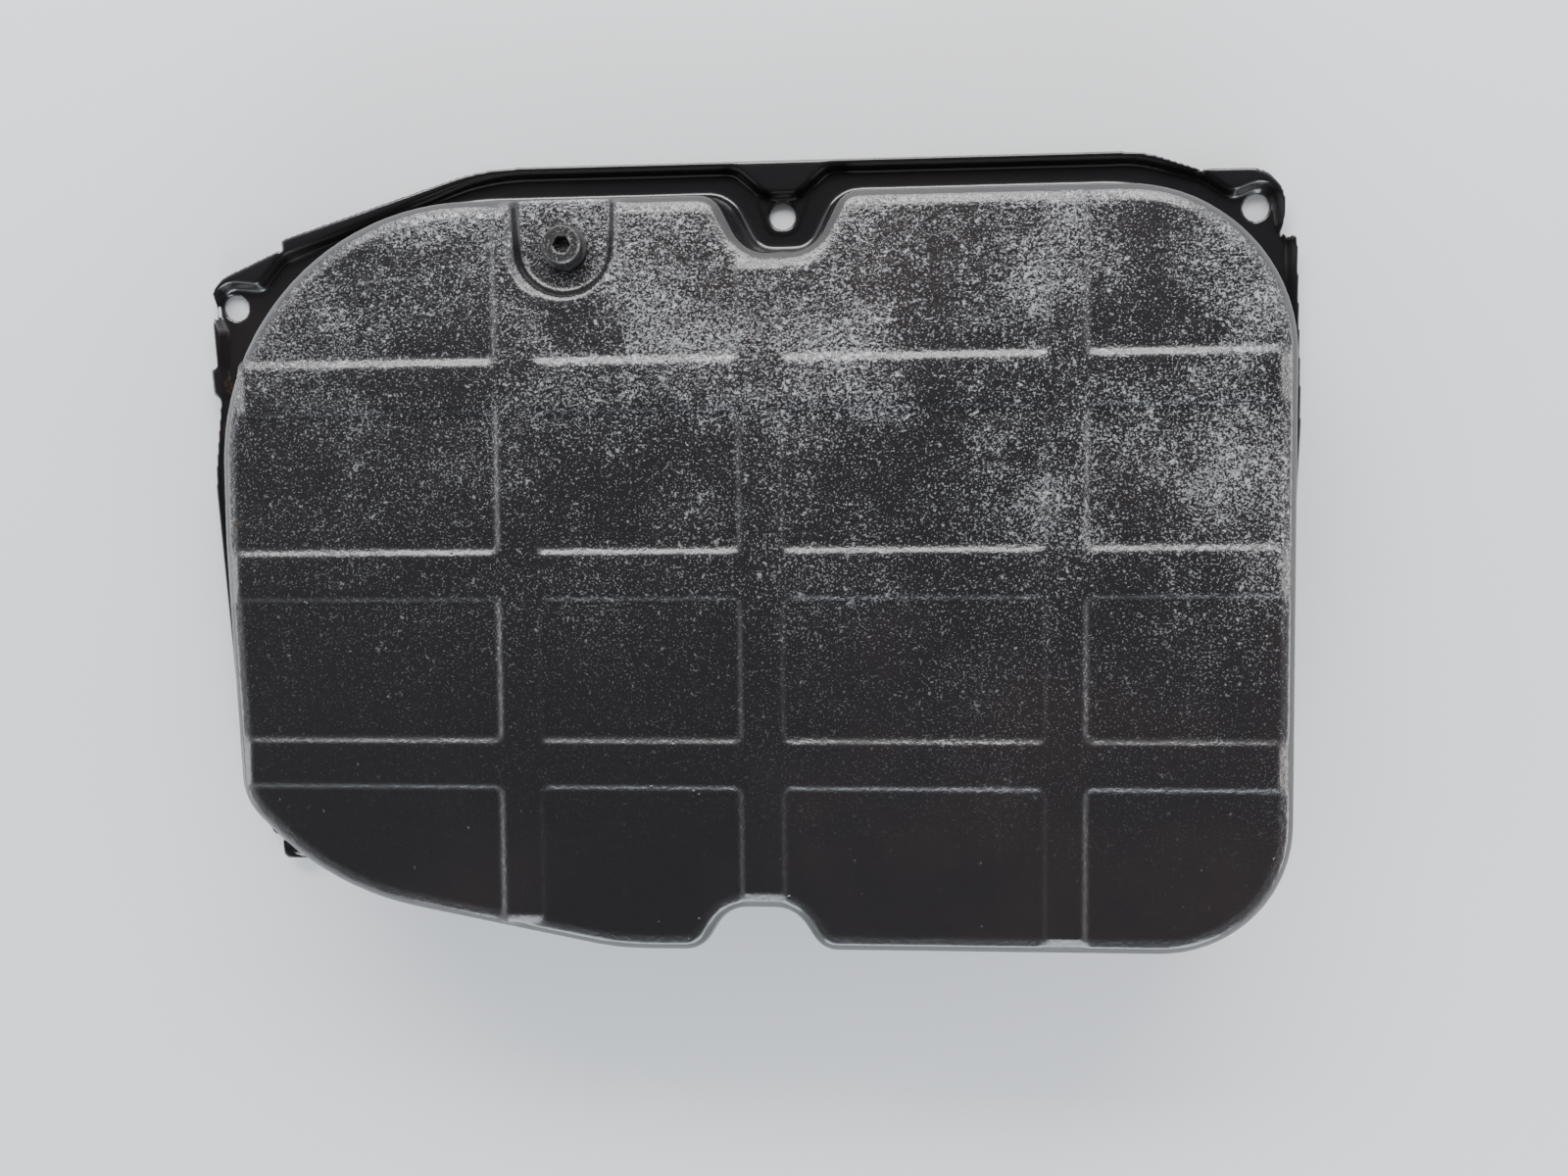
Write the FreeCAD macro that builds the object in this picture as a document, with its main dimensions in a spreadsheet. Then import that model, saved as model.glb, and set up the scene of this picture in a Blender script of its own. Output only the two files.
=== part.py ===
import FreeCAD, Part
import math
import os

# Automatic-gearbox oil pan: a deep-drawn sheet pan lying with its outer bottom face up.
# Z = 0 is the gasket face of the flange, X runs along the long side, Y along the short side.
# The bottom face is inclined about X, so the pan is deeper towards -Y.

Vector = FreeCAD.Vector
os.makedirs("parts", exist_ok=True)
doc = FreeCAD.newDocument("OilPan")

# ---------------------------------------------------------------- driving dimensions (mm, deg)
DIMENSIONS = [
    ("sheet", 1.5),
    ("facecentreheight", 52.0),
    ("facetilt", 8.0),
    ("edgeradius", 6.5),
    ("walldraft", 2.2),
    ("baseradius", 1.6),
    ("rimheight", 5.5),
    ("rimflare", 2.6),
    ("ribheight", 1.1),
    ("boltholediameter", 8.5),
    ("pocketdepth", 4.5),
    ("pocketradius", 16.5),
    ("pocketslope", 3.2),
    ("plugx", -51.0),
    ("plugy", 103.5),
    ("threaddiameter", 10.0),
    ("threadclearance", 0.06),
    ("bossdiameter", 22.0),
    ("bosslength", 8.0),
    ("headdiameter", 11.8),
    ("headheight", 4.0),
    ("headchamfer", 0.6),
    ("socketmouthdiameter", 6.4),
    ("socketmouthdepth", 0.5),
    ("shanklength", 12.5),
    ("hexacrossflats", 5.0),
    ("hexdepth", 3.0),
    ("sealdiameter", 14.2),
    ("sealthickness", 1.5),
    ("magnetdiameter", 24.0),
    ("magnetbore", 8.0),
    ("magnetheight", 5.0),
    ("magnetx", 56.8),
    ("magnety", 30.4),
]
sheet_doc = doc.addObject("Spreadsheet::Sheet", "Dims")
DIM = {}
for row, (alias, value) in enumerate(DIMENSIONS, start=1):
    sheet_doc.set("A%d" % row, alias)
    sheet_doc.set("B%d" % row, repr(value))
    sheet_doc.setAlias("B%d" % row, alias)
    DIM[alias] = value
doc.recompute()

SHEET = DIM["sheet"]
TILT = math.radians(DIM["facetilt"])

# ---------------------------------------------------------------- outlines: (x, y, corner radius)
# Pressed body where the edge radius of the bottom face begins, in the inclined face's own axes.
BODY = [
    (-159.8, -71.5, 20), (-130.8, -100.8, 93), (-37.0, -119.0, 93), (-10.1, -118.9, 9),
    (-1.6, -105.1, 11), (19.3, -105.1, 11), (28.0, -118.6, 9), (173.8, -118.4, 41),
    (173.5, 119.6, 53), (35.6, 119.6, 9), (25.9, 101.2, 11), (5.7, 101.2, 11),
    (-3.7, 119.1, 9), (-163.2, 118.9, 82), (-163.3, 11.0, 300),
]
# Free edge of the flange, seen from above.
RIM = [
    (-175.0, -114.0, 3), (-152.0, -114.0, 8), (-92.0, -130.5, 60), (151.0, -130.5, 20),
    (157.0, -128.0, 4), (178.0, -128.0, 13), (178.0, -102.0, 3), (182.6, -98.5, 4),
    (186.6, -66.0, 90), (186.6, 45.0, 150), (182.0, 103.0, 3), (178.0, 105.0, 3),
    (178.0, 124.6, 13), (149.5, 124.6, 6), (132.0, 130.5, 40), (-84.0, 130.5, 80),
    (-155.0, 109.2, 3), (-156.4, 105.6, 3), (-182.0, 95.0, 12), (-182.2, 68.0, 2),
    (-184.4, 65.5, 1.5), (-184.2, 56.5, 2), (-181.8, 55.8, 1.5), (-186.6, 28.0, 60),
    (-186.6, -68.0, 120), (-178.4, -103.6, 6), (-175.0, -106.2, 2),
]
# Foot of the turned-up rim; at the ears it runs in behind the bolt holes.
FOOT = [
    (-170.4, -109.6, 6), (-160.4, -112.0, 6), (-149.0, -109.5, 8), (-91.5, -126.2, 60), (-6.0, -126.2, 6),
    (2.8, -122.4, 8), (15.2, -122.4, 8), (24.0, -126.2, 6),
    (150.0, -126.2, 6), (160.5, -119.0, 6), (173.4, -119.8, 9), (175.0, -104.0, 6),
    (179.3, -97.0, 6), (182.3, -66.0, 90), (182.3, 45.0, 150), (178.6, 100.5, 6),
    (175.2, 106.0, 4), (172.9, 119.4, 5), (160.6, 114.4, 7), (151.0, 120.5, 6),
    (131.0, 126.2, 40), (31.0, 126.2, 6), (21.2, 117.7, 8), (9.4, 117.7, 8), (-0.5, 126.2, 6),
    (-83.0, 126.2, 80), (-154.5, 101.5, 6), (-163.5, 91.8, 5), (-180.0, 93.8, 7),
    (-179.6, 84.0, 3), (-177.4, 79.0, 4), (-178.8, 66.0, 3), (-178.0, 56.0, 4), (-182.3, 28.0, 60),
    (-182.3, -68.0, 120), (-174.8, -101.0, 8),
]
BOLT_HOLES = [
    (-174.6, 86.6), (15.3, 112.8), (169.2, 112.0),
    (-166.0, -104.0), (9.0, -117.4), (168.6, -112.0),
]
# Undersides of the raised ear pads, hollowed so that they stay one sheet thick.
EAR_HOLLOWS = [
    [(-172.0, 95.2), (-164.2, 94.4), (-159.4, 99.6), (-161.0, 100.2)],
    [(154.8, 120.4), (160.8, 117.4), (171.2, 120.4), (170.4, 121.4), (156.0, 121.4)],
    [(159.6, -124.2), (171.0, -124.2), (171.4, -121.8), (160.2, -121.2)],
]
EAR_HOLLOW_RADIUS = 0.5
# Recess wall: share of the slope taken up, and height over the bottom face.
RECESS_PROFILE = [(-0.45, 1.3), (-0.3, 0.2), (0.05, -0.35), (0.3, -1.1), (0.6, -3.3), (1.0, -DIM["pocketdepth"])]
RIM_CUTS = [
    (-156.2, 107.8, 107.5, 6.0), (-184.2, 67.2, 0.0, 5.4), (-185.0, 56.2, 0.0, 5.4), (150.2, 125.2, 90.0, 6.0),
    (181.0, 104.2, 20.0, 6.0), (-177.0, -105.6, 20.0, 5.4), (-152.0, -113.6, 75.0, 6.0),
    (153.0, -129.8, 90.0, 6.0), (181.0, -100.6, -20.0, 6.0),
]
RIM_CUT_WIDTH = 1.6
# Slightly raised pads round the two middle bolt holes, narrowing towards the body.
MIDDLE_PADS = [
    [(6.6, 119.6, 0.5), (11.2, 107.4, 4), (19.4, 107.4, 4), (24.0, 119.6, 0.5)],
    [(17.6, -124.4, 0.5), (12.8, -112.6, 3.6), (5.2, -112.6, 3.6), (0.4, -124.4, 0.5)],
]
MIDDLE_PAD_HEIGHT = 0.5

# Raised ribs of the bottom face in its own axes: both sides, then both ends.
RIB_ROWS = [(52.3, 67.8, -154.0, 167.2), (-6.2, 8.6, -157.6, 167.9), (-65.6, -50.8, -155.0, 167.9)]
RIB_COLUMNS = [(-72.7, -60.0, -107.2, 113.6), (3.3, 16.6, -99.6, 95.8), (97.0, 109.2, -113.0, 114.0)]
RIB_CORNER = 2.0
RIB_END_CORNER = 1.4
RIB_SLOPE = 2.4
RIB_ROOT = 0.6


# ---------------------------------------------------------------- helpers
def offset_corners(verts, inset):
    """Move every side of a counter-clockwise polygon inwards and rework the corner radii."""
    if inset == 0:
        return list(verts)
    moved = []
    count = len(verts)
    for i in range(count):
        before = verts[i - 1]
        here = verts[i]
        after = verts[(i + 1) % count]
        in_x, in_y = unit(here[0] - before[0], here[1] - before[1])
        out_x, out_y = unit(after[0] - here[0], after[1] - here[1])
        turn = in_x * out_y - in_y * out_x
        share = 1.0 + in_x * out_x + in_y * out_y
        x = here[0] - inset * (in_y + out_y) / share
        y = here[1] + inset * (in_x + out_x) / share
        radius = here[2] - inset if turn > 0 else here[2] + inset
        moved.append((x, y, max(radius, 0.4)))
    return moved


def unit(x, y):
    length = math.hypot(x, y)
    return x / length, y / length


def rounded(verts):
    """Sketch geometry of a polygon with rounded corners: one arc and one line per corner."""
    corners = []
    count = len(verts)
    for i in range(count):
        before = verts[i - 1]
        here = verts[i]
        after = verts[(i + 1) % count]
        in_x, in_y = unit(here[0] - before[0], here[1] - before[1])
        out_x, out_y = unit(after[0] - here[0], after[1] - here[1])
        turn = math.atan2(in_x * out_y - in_y * out_x, in_x * out_x + in_y * out_y)
        setback = here[2] * math.tan(abs(turn) / 2)
        start = Vector(here[0] - in_x * setback, here[1] - in_y * setback, 0)
        end = Vector(here[0] + out_x * setback, here[1] + out_y * setback, 0)
        bow = here[2] * (1 / math.cos(turn / 2) - 1)
        mid_x, mid_y = unit(out_x - in_x, out_y - in_y)
        middle = Vector(here[0] + mid_x * bow, here[1] + mid_y * bow, 0)
        corners.append((start, middle, end))
    shapes = []
    for i in range(count):
        start, middle, end = corners[i]
        following = corners[(i + 1) % count][0]
        shapes.append(Part.Arc(start, middle, end))
        shapes.append(Part.LineSegment(end, following))
    return shapes


def circle(x, y, radius):
    return [Part.Circle(Vector(x, y, 0), Vector(0, 0, 1), radius)]


def new_body(label):
    body = doc.addObject("PartDesign::Body", label)
    body.Label = label
    return body


def base_plane(body, role="XY_Plane"):
    for feature in body.Origin.OriginFeatures:
        if feature.Role == role:
            return feature
    raise ValueError("no plane " + role)


def sketch(body, name, shapes, height=0.0, tilted=False):
    """A sketch parallel to the flange, or on the inclined bottom face when tilted."""
    drawing = body.newObject("Sketcher::SketchObject", name)
    drawing.AttachmentSupport = [(base_plane(body), "")]
    drawing.MapMode = "FlatFace"
    if tilted:
        turn = FreeCAD.Rotation(Vector(1, 0, 0), -DIM["facetilt"])
        lift = turn.multVec(Vector(0, 0, height))
        offset = Vector(0, 0, DIM["facecentreheight"]) + lift
        drawing.AttachmentOffset = FreeCAD.Placement(offset, turn)
    else:
        drawing.AttachmentOffset = FreeCAD.Placement(Vector(0, 0, height), FreeCAD.Rotation())
    drawing.addGeometry(shapes, False)
    drawing.Visibility = False
    return drawing


def check(body, step):
    doc.recompute()
    shape = body.Shape
    if shape.isNull() or not shape.isValid() or len(shape.Solids) != 1:
        raise RuntimeError("%s is not one sound solid after %s" % (body.Label, step))
    print("%-14s %-22s volume %.0f" % (body.Label, step, shape.Volume))
    return shape.Volume


def loft(body, kind, name, profiles):
    feature = body.newObject("PartDesign::" + kind, name)
    feature.Profile = profiles[0]
    feature.Sections = profiles[1:]
    feature.Ruled = True
    feature.Closed = False
    check(body, name)
    return feature


def pad(body, name, profile, length, reversed_=False):
    feature = body.newObject("PartDesign::Pad", name)
    feature.Profile = profile
    feature.setExpression("Length", length)
    feature.Reversed = reversed_
    check(body, name)
    return feature


def cut(body, name, profile, length, upwards=False):
    """Remove material below the sketch plane, or above it when upwards is set."""
    before = body.Shape.Volume
    feature = body.newObject("PartDesign::Pocket", name)
    feature.Profile = profile
    feature.setExpression("Length", length)
    feature.Reversed = upwards
    if check(body, name) >= before:
        raise RuntimeError(name + " removes nothing")
    return feature


def tray_outline(verts, inset):
    return rounded(offset_corners(verts, inset))


# ---------------------------------------------------------------- pan shell
pan = new_body("pan_shell")
flare = DIM["rimflare"]
rim_top = DIM["rimheight"]

rim_low = sketch(pan, "RimLow", tray_outline(RIM, flare))
rim_high = sketch(pan, "RimHigh", tray_outline(RIM, 0), rim_top)
loft(pan, "AdditiveLoft", "FlangeTray", [rim_low, rim_high])

foot_low = sketch(pan, "FootLow", tray_outline(FOOT, 0), SHEET)
foot_high = sketch(pan, "FootHigh", tray_outline(FOOT, -flare), rim_top)
loft(pan, "SubtractiveLoft", "FlangeFloor", [foot_low, foot_high])


def body_sections(prefix, skin):
    """Bend out of the flange, wall and edge radius of the pressed body, moved in by one skin."""
    radius = DIM["edgeradius"]
    root = DIM["baseradius"]
    draft = DIM["walldraft"]
    bend = root + skin
    base = [(x, y * math.cos(TILT) - radius * math.sin(TILT), r) for x, y, r in BODY]
    sections = []
    if skin == 0:
        sections.append(sketch(pan, prefix + "Mouth", tray_outline(base, -draft - root)))
    for step in range(3):
        angle = math.radians(45 * step)
        outset = draft + root - bend * math.sin(angle)
        height = SHEET + root - bend * math.cos(angle)
        sections.append(sketch(pan, "%sRoot%d" % (prefix, step), tray_outline(base, -outset), height))
    for step in range(4):
        angle = math.radians(30 * step)
        inner = radius - skin
        inset = skin + inner * (1 - math.cos(angle))
        height = -radius + inner * math.sin(angle)
        outline = tray_outline(BODY, inset)
        sections.append(sketch(pan, "%sEdge%d" % (prefix, step), outline, height, True))
    return sections


loft(pan, "AdditiveLoft", "PressedBody", body_sections("Outer", 0.0))
loft(pan, "SubtractiveLoft", "Hollow", body_sections("Inner", SHEET))


def rib_contour(inset):
    """Outer contour of the crossing ribs, closed panels included."""
    rows = sorted(RIB_ROWS)
    columns = sorted(RIB_COLUMNS)
    inner = RIB_CORNER
    outer = RIB_END_CORNER
    contour = []
    for low, high, end, _ in columns:
        contour += [(low, rows[0][0], inner), (low, end, outer), (high, end, outer), (high, rows[0][0], inner)]
    for low, high, _, end in rows:
        contour += [(columns[-1][1], low, inner), (end, low, outer), (end, high, outer)]
        contour += [(columns[-1][1], high, inner)]
    for low, high, _, end in reversed(columns):
        contour += [(high, rows[-1][1], inner), (high, end, outer), (low, end, outer), (low, rows[-1][1], inner)]
    for low, high, end, _ in reversed(rows):
        contour += [(columns[0][0], high, inner), (end, high, outer), (end, low, outer), (columns[0][0], low, inner)]
    return tray_outline(without_repeats(contour), inset)


def without_repeats(verts):
    return [v for i, v in enumerate(verts) if v[:2] != verts[i - 1][:2]]


RIB_TOP = DIM["ribheight"]
root_reach = RIB_SLOPE * (0.5 + RIB_ROOT / RIB_TOP)
low = sketch(pan, "RibFoot", rib_contour(-root_reach), -RIB_ROOT, True)
high = sketch(pan, "RibCrest", rib_contour(RIB_SLOPE / 2), RIB_TOP, True)
loft(pan, "AdditiveLoft", "Ribs", [low, high])
for row in (1, 2):
    for column in (1, 2):
        west = sorted(RIB_COLUMNS)[column - 1][1]
        east = sorted(RIB_COLUMNS)[column][0]
        south = sorted(RIB_ROWS)[row - 1][1]
        north = sorted(RIB_ROWS)[row][0]
        panel = [(west, south, RIB_CORNER), (east, south, RIB_CORNER)]
        panel += [(east, north, RIB_CORNER), (west, north, RIB_CORNER)]
        name = "Panel%d%d" % (row, column)
        low = sketch(pan, name + "Floor", tray_outline(panel, RIB_SLOPE / 2), 0.0, True)
        high = sketch(pan, name + "Edge", tray_outline(panel, -RIB_SLOPE / 2), RIB_TOP, True)
        loft(pan, "SubtractiveLoft", name, [high, low])


def u_shape(radius, top):
    """A round-bottomed slot about the plug, running towards +Y as far as top."""
    px = DIM["plugx"]
    py = DIM["plugy"]
    left = Vector(px - radius, py, 0)
    right = Vector(px + radius, py, 0)
    upper_left = Vector(px - radius - 1.0, top, 0)
    upper_right = Vector(px + radius + 1.0, top, 0)
    return [
        Part.Arc(left, Vector(px, py - radius, 0), right),
        Part.LineSegment(right, upper_right),
        Part.LineSegment(upper_right, upper_left),
        Part.LineSegment(upper_left, left),
    ]


# Recess for the drain plug, open towards the upper long side.
backing = sketch(pan, "RecessBacking", u_shape(DIM["pocketradius"] + SHEET, 116.8), -0.8, True)
pad(pan, "RecessWall", backing, "Dims.pocketdepth + Dims.sheet - 0.8", True)
recess = []
for share, height in RECESS_PROFILE:
    radius = DIM["pocketradius"] - share * DIM["pocketslope"]
    recess.append(sketch(pan, "Recess%d" % len(recess), u_shape(radius, 124.0), height, True))
loft(pan, "SubtractiveLoft", "Recess", recess)

bore_radius = DIM["threaddiameter"] / 2 + DIM["threadclearance"]
plug_hole = sketch(pan, "PlugHole", circle(DIM["plugx"], DIM["plugy"], bore_radius), 0.0, True)
cut(pan, "PlugBore", plug_hole, "Dims.pocketdepth + Dims.sheet + 1")

pad_shapes = []
for corners in MIDDLE_PADS:
    pad_shapes += rounded(corners)
middle_pads = pan.newObject("PartDesign::Pad", "MiddlePads")
middle_pads.Profile = sketch(pan, "MiddlePadOutlines", pad_shapes, SHEET - 0.2)
middle_pads.Length = MIDDLE_PAD_HEIGHT + 0.2
check(pan, "MiddlePads")

hole_shapes = []
for hole_x, hole_y in BOLT_HOLES:
    hole_shapes += circle(hole_x, hole_y, DIM["boltholediameter"] / 2)
cut(pan, "BoltHoles", sketch(pan, "BoltCircles", hole_shapes), "Dims.rimheight + 1", True)

hollow_shapes = []
for corners in EAR_HOLLOWS:
    hollow_shapes += rounded([(x, y, EAR_HOLLOW_RADIUS) for x, y in corners])
cut(pan, "EarHollows", sketch(pan, "EarHollowOutlines", hollow_shapes), "Dims.rimheight - Dims.sheet", True)


def turned_box(centre_x, centre_y, degrees, length):
    along = math.radians(degrees)
    corners = []
    for side_long, side_wide in ((-1, -1), (1, -1), (1, 1), (-1, 1)):
        reach = side_long * length / 2
        wide = side_wide * RIM_CUT_WIDTH / 2
        x = centre_x + reach * math.cos(along) - wide * math.sin(along)
        y = centre_y + reach * math.sin(along) + wide * math.cos(along)
        corners.append(Vector(x, y, 0))
    return [Part.LineSegment(corners[i - 1], corners[i]) for i in range(4)]


cut_shapes = []
for cut_place in RIM_CUTS:
    cut_shapes += turned_box(*cut_place)
cut(pan, "RimCuts", sketch(pan, "RimCutOutlines", cut_shapes, SHEET), "Dims.rimheight", True)

# ---------------------------------------------------------------- parts on the plug axis
floor_height = -DIM["pocketdepth"]

boss = new_body("drain_boss")
boss_top = floor_height - SHEET
ring = circle(DIM["plugx"], DIM["plugy"], DIM["bossdiameter"] / 2)
ring += circle(DIM["plugx"], DIM["plugy"], bore_radius)
pad(boss, "Boss", sketch(boss, "BossSection", ring, boss_top, True), "Dims.bosslength", True)

seal = new_body("plug_seal_ring")
ring = circle(DIM["plugx"], DIM["plugy"], DIM["sealdiameter"] / 2)
ring += circle(DIM["plugx"], DIM["plugy"], bore_radius + 0.1)
pad(seal, "SealRing", sketch(seal, "SealSection", ring, floor_height, True), "Dims.sealthickness")

plug = new_body("drain_plug")
seat = floor_height + DIM["sealthickness"]
head_top = seat + DIM["headheight"]
head_radius = DIM["headdiameter"] / 2
head_sections = []
for height, radius in (
    (seat, head_radius),
    (head_top - DIM["headchamfer"], head_radius),
    (head_top, head_radius - DIM["headchamfer"]),
):
    outline = circle(DIM["plugx"], DIM["plugy"], radius)
    head_sections.append(sketch(plug, "Head%d" % len(head_sections), outline, height, True))
loft(plug, "AdditiveLoft", "Head", head_sections)
shank = sketch(plug, "ShankCircle", circle(DIM["plugx"], DIM["plugy"], DIM["threaddiameter"] / 2), seat, True)
pad(plug, "Shank", shank, "Dims.shanklength", True)
hexagon = []
hex_radius = DIM["hexacrossflats"] / 2 / math.cos(math.radians(30))
for corner in range(6):
    angle = math.radians(60 * corner)
    hexagon.append((DIM["plugx"] + hex_radius * math.cos(angle), DIM["plugy"] + hex_radius * math.sin(angle), 0.1))
socket = sketch(plug, "HexSocket", rounded(hexagon), head_top, True)
cut(plug, "Socket", socket, "Dims.hexdepth")
mouth_wide = circle(DIM["plugx"], DIM["plugy"], DIM["socketmouthdiameter"] / 2)
mouth_narrow = circle(DIM["plugx"], DIM["plugy"], DIM["hexacrossflats"] / 2)
mouth = [
    sketch(plug, "MouthTop", mouth_wide, head_top, True),
    sketch(plug, "MouthFloor", mouth_narrow, head_top - DIM["socketmouthdepth"], True),
]
loft(plug, "SubtractiveLoft", "SocketMouth", mouth)

magnet = new_body("chip_magnet")
ring = circle(DIM["magnetx"], DIM["magnety"], DIM["magnetdiameter"] / 2)
ring += circle(DIM["magnetx"], DIM["magnety"], DIM["magnetbore"] / 2)
pad(magnet, "Magnet", sketch(magnet, "MagnetRing", ring, -SHEET, True), "Dims.magnetheight", True)

# ---------------------------------------------------------------- export
for item in doc.Objects:
    if "Invalid" in item.State or "Error" in item.State:
        raise RuntimeError(item.Name + " is " + str(item.State))
for item in (pan, boss, seal, plug, magnet):
    if item.Shape.isNull() or not item.Shape.isValid():
        raise RuntimeError(item.Label + " has no sound shape")
    item.Shape.exportStep("parts/" + item.Label + ".step")
    box = item.Shape.BoundBox
    print(item.Label, "%.1f %.1f %.1f  %.1f %.1f %.1f" % (box.XMin, box.YMin, box.ZMin, box.XMax, box.YMax, box.ZMax))
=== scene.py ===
import math
import bpy
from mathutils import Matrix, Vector


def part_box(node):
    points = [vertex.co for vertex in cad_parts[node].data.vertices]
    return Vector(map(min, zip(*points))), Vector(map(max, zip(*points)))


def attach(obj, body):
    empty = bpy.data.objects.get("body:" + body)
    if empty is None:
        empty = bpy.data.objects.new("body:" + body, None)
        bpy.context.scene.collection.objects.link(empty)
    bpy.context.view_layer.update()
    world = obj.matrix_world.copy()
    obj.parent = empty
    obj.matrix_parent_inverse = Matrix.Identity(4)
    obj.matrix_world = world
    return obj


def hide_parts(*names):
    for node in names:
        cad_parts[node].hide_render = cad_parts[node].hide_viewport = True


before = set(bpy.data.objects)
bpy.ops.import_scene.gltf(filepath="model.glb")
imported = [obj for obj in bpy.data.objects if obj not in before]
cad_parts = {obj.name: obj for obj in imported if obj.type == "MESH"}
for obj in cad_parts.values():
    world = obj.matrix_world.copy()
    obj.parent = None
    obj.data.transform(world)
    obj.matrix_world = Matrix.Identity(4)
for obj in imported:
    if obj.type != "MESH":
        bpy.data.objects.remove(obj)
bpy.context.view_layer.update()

# All lengths are in metres.
# The bottom face is inclined about X; its plane is FACE_NORMAL . p = FACE_LEVEL.
FACE_TILT = math.radians(8.0)
FACE_NORMAL = (0.0, math.sin(FACE_TILT), math.cos(FACE_TILT))
FACE_LEVEL = 0.052 * math.cos(FACE_TILT)
RECESS_DEPTH = 0.0045
RECESS_RADIUS = 0.022

# The shell's copy is remeshed at one voxel size, then its edges are rounded by smoothing in and out.
SHELL_VOXEL = 0.0007
SMOOTHING_ROUNDS = 3
SMOOTHING_STEPS = 3
SMOOTHING_IN = 0.5
SMOOTHING_OUT = -0.32

FLOOR_HALF = 3.0
FLOOR_COLOUR = (0.62, 0.625, 0.635)

WORLD_COLOUR = (0.9, 0.94, 1.0)
WORLD_HORIZON = 2.4
WORLD_ZENITH = 0.16

# Each light: name, location, width and height, power and colour. All face LIGHT_TARGET.
LIGHT_TARGET = (0, 0, 0.05)
WHITE = (1, 1, 1)
LIGHTS = [
    ("key", (-0.05, 1.0, 0.7), (1.5, 0.28), 28, WHITE),
    ("low_back", (0.0, 1.3, 0.28), (1.6, 0.35), 16, WHITE),
    ("low_front", (0.1, -1.1, 0.5), (1.4, 0.5), 20, (0.82, 0.92, 1.0)),
    ("low_left", (-1.2, -0.1, 0.3), (1.0, 0.3), 5, WHITE),
    ("low_right", (1.2, -0.1, 0.3), (1.0, 0.3), 8, (1.0, 0.95, 0.9)),
]

PAINT_BLACK = (0.0075, 0.0068, 0.0075)
PAINT_BROWN = (0.014, 0.0105, 0.0105)
RUST = (0.075, 0.042, 0.022)
# Colour of the painted highlights: glint dots laid into the pan's base colour, not a colour of the
# paint.
PAINTED_GLINT = (0.23, 0.235, 0.245)


# ---------------------------------------------------------------- camera, floor and light
def add_camera():
    data = bpy.data.cameras.new("photo_camera")
    data.lens = 28.93
    data.sensor_width = 36.0
    camera = bpy.data.objects.new("photo_camera", data)
    camera.location = (0.0429, 0.0699, 0.4347)
    camera.rotation_euler = [math.radians(a) for a in (-10.84, 3.68, -0.98)]
    bpy.context.scene.collection.objects.link(camera)
    bpy.context.scene.camera = camera


def add_floor():
    half = FLOOR_HALF
    verts = [(-half, -half, 0), (half, -half, 0), (half, half, 0), (-half, half, 0)]
    mesh = bpy.data.meshes.new("floor")
    mesh.from_pydata(verts, [], [(0, 1, 2, 3)])
    mesh.update()
    mesh.materials.append(plain_material("floor_paint", FLOOR_COLOUR, 0.7))
    floor = bpy.data.objects.new("floor", mesh)
    bpy.context.scene.collection.objects.link(floor)


def add_light(name, location, size, power, colour):
    data = bpy.data.lights.new(name, "AREA")
    data.shape = "RECTANGLE"
    data.size = size[0]
    data.size_y = size[1]
    data.energy = power
    data.color = colour
    light = bpy.data.objects.new(name, data)
    light.location = location
    aim = Vector(LIGHT_TARGET) - Vector(location)
    light.rotation_euler = aim.to_track_quat("-Z", "Y").to_euler()
    bpy.context.scene.collection.objects.link(light)


def add_world():
    """Pale walls round a darker ceiling, so that gloss black keeps its depth from above."""
    world = bpy.data.worlds.new("studio")
    world.use_nodes = True
    tree = world.node_tree
    place = tree.nodes.new("ShaderNodeTexCoord").outputs["Generated"]
    split = tree.nodes.new("ShaderNodeSeparateXYZ")
    tree.links.new(place, split.inputs[0])
    ramp = tree.nodes.new("ShaderNodeMapRange")
    ramp.interpolation_type = "SMOOTHSTEP"
    tree.links.new(split.outputs["Z"], ramp.inputs["Value"])
    ramp.inputs["From Min"].default_value = 0.25
    ramp.inputs["From Max"].default_value = 0.85
    ramp.inputs["To Min"].default_value = WORLD_HORIZON
    ramp.inputs["To Max"].default_value = WORLD_ZENITH
    back = tree.nodes["Background"]
    back.inputs["Color"].default_value = (*WORLD_COLOUR, 1)
    tree.links.new(ramp.outputs["Result"], back.inputs["Strength"])
    bpy.context.scene.world = world


# ---------------------------------------------------------------- materials
def plain_material(name, colour, roughness):
    mat = bpy.data.materials.new(name)
    mat.use_nodes = True
    shader = mat.node_tree.nodes["Principled BSDF"]
    shader.inputs["Base Color"].default_value = (*colour, 1)
    shader.inputs["Roughness"].default_value = roughness
    return mat


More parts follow.
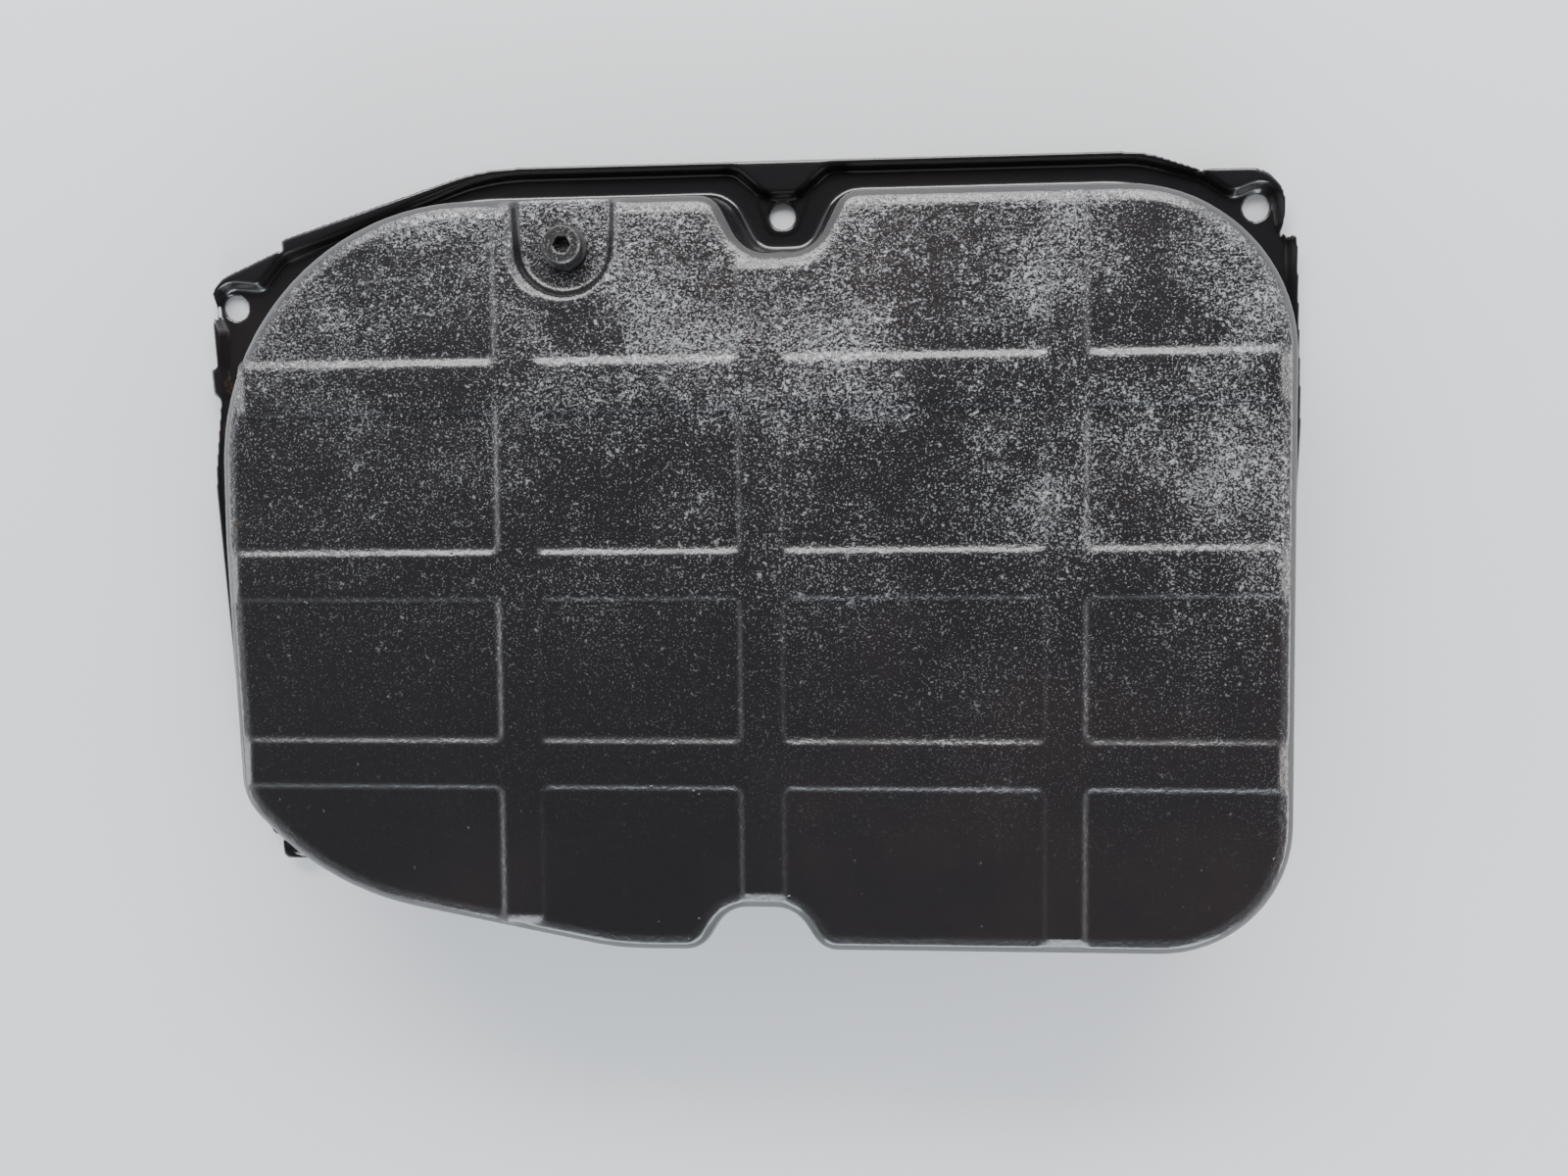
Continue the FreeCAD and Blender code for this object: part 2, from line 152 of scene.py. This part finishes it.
class Graph:
    """Short calls that add nodes to one material."""

    def __init__(self, name):
        self.mat = bpy.data.materials.new(name)
        self.mat.use_nodes = True
        self.tree = self.mat.node_tree
        self.shader = self.tree.nodes["Principled BSDF"]
        self.place = self.tree.nodes.new("ShaderNodeTexCoord").outputs["Object"]

    def put(self, value, socket):
        if isinstance(value, bpy.types.NodeSocket):
            self.tree.links.new(value, socket)
        else:
            socket.default_value = value

    def noise(self, scale, detail=2.0, roughness=0.5):
        node = self.tree.nodes.new("ShaderNodeTexNoise")
        self.tree.links.new(self.place, node.inputs["Vector"])
        node.inputs["Scale"].default_value = scale
        node.inputs["Detail"].default_value = detail
        node.inputs["Roughness"].default_value = roughness
        return node.outputs["Fac"]

    def cells(self, scale):
        node = self.tree.nodes.new("ShaderNodeTexVoronoi")
        self.tree.links.new(self.place, node.inputs["Vector"])
        node.inputs["Scale"].default_value = scale
        return node.outputs["Distance"]

    def math(self, operation, a, b=0.0):
        node = self.tree.nodes.new("ShaderNodeMath")
        node.operation = operation
        self.put(a, node.inputs[0])
        self.put(b, node.inputs[1])
        return node.outputs[0]

    def add(self, a, b):
        return self.math("ADD", a, b)

    def times(self, a, b):
        return self.math("MULTIPLY", a, b)

    def band(self, value, low, high, out_low=0.0, out_high=1.0):
        """A smooth step of the value, from out_low at low to out_high at high."""
        node = self.tree.nodes.new("ShaderNodeMapRange")
        node.interpolation_type = "SMOOTHSTEP"
        self.put(value, node.inputs["Value"])
        node.inputs["From Min"].default_value = low
        node.inputs["From Max"].default_value = high
        node.inputs["To Min"].default_value = out_low
        node.inputs["To Max"].default_value = out_high
        return node.outputs["Result"]

    def axis(self, name):
        node = self.tree.nodes.new("ShaderNodeSeparateXYZ")
        self.tree.links.new(self.place, node.inputs[0])
        return node.outputs[name]

    def blend(self, share, a, b):
        node = self.tree.nodes.new("ShaderNodeMix")
        node.data_type = "RGBA"
        self.put(share, node.inputs[0])
        self.put((*a, 1) if isinstance(a, tuple) else a, node.inputs[6])
        self.put((*b, 1) if isinstance(b, tuple) else b, node.inputs[7])
        return node.outputs[2]

    def bump(self, height, distance, strength, below=None):
        node = self.tree.nodes.new("ShaderNodeBump")
        node.inputs["Distance"].default_value = distance
        self.put(strength, node.inputs["Strength"])
        self.put(height, node.inputs["Height"])
        if below is not None:
            self.tree.links.new(below, node.inputs["Normal"])
        return node.outputs["Normal"]

    def finish(self, normal, colour, roughness):
        self.tree.links.new(normal, self.shader.inputs["Normal"])
        self.tree.links.new(colour, self.shader.inputs["Base Color"])
        self.put(roughness, self.shader.inputs["Roughness"])
        return self.mat


def from_plug_axis(g, x, y):
    """Distance from the plug's middle, seen along Z."""
    plug_low, plug_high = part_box("drain_plug")
    from_x = g.math("SUBTRACT", x, (plug_low[0] + plug_high[0]) / 2)
    from_y = g.math("SUBTRACT", y, (plug_low[1] + plug_high[1]) / 2)
    return g.math("SQRT", g.add(g.math("POWER", from_x, 2.0), g.math("POWER", from_y, 2.0)))


def pitted_area(g, x, y, z):
    """1 on the flat of the bottom face and on the floor of the plug's recess, 0 elsewhere."""
    level = g.add(g.times(y, FACE_NORMAL[1]), g.times(z, FACE_NORMAL[2]))
    flat = g.band(level, FACE_LEVEL - 0.0016, FACE_LEVEL - 0.0003)
    floor_level = FACE_LEVEL - RECESS_DEPTH
    above_low = g.band(level, floor_level - 0.0009, floor_level - 0.0003)
    below_high = g.band(level, floor_level + 0.0009, floor_level + 0.0003)
    near_plug = g.band(from_plug_axis(g, x, y), RECESS_RADIUS, 0.018)
    recess_floor = g.times(g.times(above_low, below_high), near_plug)
    return g.math("MAXIMUM", flat, recess_floor)


def paint_relief(g, pitted, coarse):
    """Slow waves of thick paint, then craters, then lumps that are higher in the coarse patches."""
    coat = g.noise(60.0, 2.0, 0.5)
    craters = g.band(g.cells(330.0), 0.03, 0.22)
    sparse = g.band(g.noise(200.0, 2.0, 0.5), 0.56, 0.66)
    lumps = g.band(g.noise(620.0, 3.0, 0.6), 0.42, 0.66)
    level = g.bump(coat, 0.0010, 0.22)
    level = g.bump(craters, 0.0003, g.times(g.times(sparse, pitted), 0.6), level)
    lump_share = g.times(g.add(coarse, g.times(pitted, 0.12)), 0.5)
    return g.bump(lumps, 0.0004, lump_share, level)


def paint_colour(g, x):
    """Near black with brown clouds, and rust at the left end."""
    brown = g.band(g.noise(9.0, 4.0, 0.6), 0.45, 0.75)
    base = g.blend(brown, PAINT_BLACK, PAINT_BROWN)
    left_end = g.band(x, -0.145, -0.168)
    rust = g.times(g.band(g.noise(70.0, 4.0, 0.7), 0.62, 0.72), left_end)
    return g.blend(g.times(rust, 0.6), base, RUST)


def painted_glint_share(g, y, pitted, coarse, upper):
    """Painted highlights: bright dots of two sizes put into the base colour, crowded in the coarse
    patches, stronger towards the upper right and thinner towards the lower edge, as the light falls.
    """
    fine = g.band(g.add(g.noise(1500.0, 2.0, 0.6), g.times(coarse, 0.13)), 0.60, 0.71)
    medium = g.band(g.add(g.noise(480.0, 3.0, 0.65), g.times(coarse, 0.11)), 0.65, 0.74)
    painted_glints = g.times(g.math("MAXIMUM", g.times(fine, 0.75), medium), pitted)
    # Painted highlights are made stronger towards the upper right, where the light falls.
    painted_glints = g.times(painted_glints, g.add(g.times(upper, 0.8), 0.2))
    ragged_y = g.add(y, g.times(g.noise(30.0), 0.04))
    return g.times(painted_glints, g.band(ragged_y, -0.08, 0.03, 0.08, 1.0))


def pan_paint():
    """Thick gloss black; the flat bottom and the recess are pitted, coarser towards the upper right.
    Its colour carries painted highlight dots, most towards the upper right where the light falls.
    """
    g = Graph("pan_paint")
    x = g.axis("X")
    y = g.axis("Y")
    z = g.axis("Z")
    pitted = pitted_area(g, x, y, z)
    upper = g.band(g.add(g.times(x, 0.3), y), -0.1, 0.11)
    patches = g.band(g.noise(22.0, 6.0, 0.7), 0.3, 0.7)
    share = g.add(g.times(upper, 0.85), 0.15)
    coarse = g.times(g.times(share, patches), pitted)
    painted_glints = painted_glint_share(g, y, pitted, coarse, upper)
    # Painted highlights: the glint dots are mixed into the base colour.
    colour = g.blend(painted_glints, paint_colour(g, x), PAINTED_GLINT)
    g.shader.inputs["Specular IOR Level"].default_value = 0.6
    return g.finish(paint_relief(g, pitted, coarse), colour, g.band(pitted, 0.0, 1.0, 0.2, 0.26))


def plug_paint():
    """Black paint that has lost its shine, with painted highlights over it: bright dots in the base
    colour.
    """
    g = Graph("plug_paint")
    grain = g.bump(g.noise(900.0, 3.0, 0.6), 0.0003, 0.5)
    # Painted highlights: bright glint dots laid into the base colour.
    painted_glint_dots = g.band(g.noise(1500.0, 3.0, 0.65), 0.57, 0.68)
    return g.finish(grain, g.blend(painted_glint_dots, (0.012, 0.0115, 0.011), (0.24, 0.235, 0.23)), 0.3)


def seal_metal():
    g = Graph("seal_metal")
    grain = g.bump(g.noise(600.0, 3.0, 0.6), 0.0001, 0.5)
    tint = g.band(g.noise(500.0, 3.0, 0.5), 0.4, 0.7)
    return g.finish(grain, g.blend(tint, (0.018, 0.018, 0.018), (0.06, 0.06, 0.06)), 0.4)


def magnet_ferrite():
    g = Graph("magnet_ferrite")
    grain = g.bump(g.noise(900.0, 4.0, 0.6), 0.0001, 0.6)
    dust = g.band(g.noise(400.0, 4.0, 0.6), 0.5, 0.75)
    return g.finish(grain, g.blend(dust, (0.05, 0.05, 0.052), (0.1, 0.1, 0.1)), 0.7)


# ---------------------------------------------------------------- pressed shell
def softened(node_name, piece_name, voxel):
    """A fine copy of a pressed node whose sharp edges are rounded as a press leaves them."""
    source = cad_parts[node_name]
    piece = bpy.data.objects.new(piece_name, source.data.copy())
    bpy.context.scene.collection.objects.link(piece)
    remesh = piece.modifiers.new("fine", "REMESH")
    remesh.mode = "VOXEL"
    remesh.voxel_size = voxel
    remesh.use_smooth_shade = True
    for number in range(SMOOTHING_ROUNDS):
        inwards = piece.modifiers.new("in%d" % number, "SMOOTH")
        inwards.factor = SMOOTHING_IN
        inwards.iterations = SMOOTHING_STEPS
        outwards = piece.modifiers.new("out%d" % number, "SMOOTH")
        outwards.factor = SMOOTHING_OUT
        outwards.iterations = SMOOTHING_STEPS
    graph = bpy.context.evaluated_depsgraph_get()
    mesh = bpy.data.meshes.new_from_object(piece.evaluated_get(graph))
    piece.modifiers.clear()
    piece.data = mesh
    mesh.name = piece_name
    return piece


add_camera()
add_floor()
add_world()
for light in LIGHTS:
    add_light(*light)

MATERIALS = {
    "pan_shell": pan_paint(),
    "drain_boss": plug_paint(),
    "plug_seal_ring": seal_metal(),
    "drain_plug": plug_paint(),
    "chip_magnet": magnet_ferrite(),
}
for node_name, mat in MATERIALS.items():
    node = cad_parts[node_name]
    node.data.materials.clear()
    node.data.materials.append(mat)

shell = softened("pan_shell", "pan_pressing", SHELL_VOXEL)
shell.data.materials.clear()
shell.data.materials.append(MATERIALS["pan_shell"])
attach(shell, "pan")
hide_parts("pan_shell")
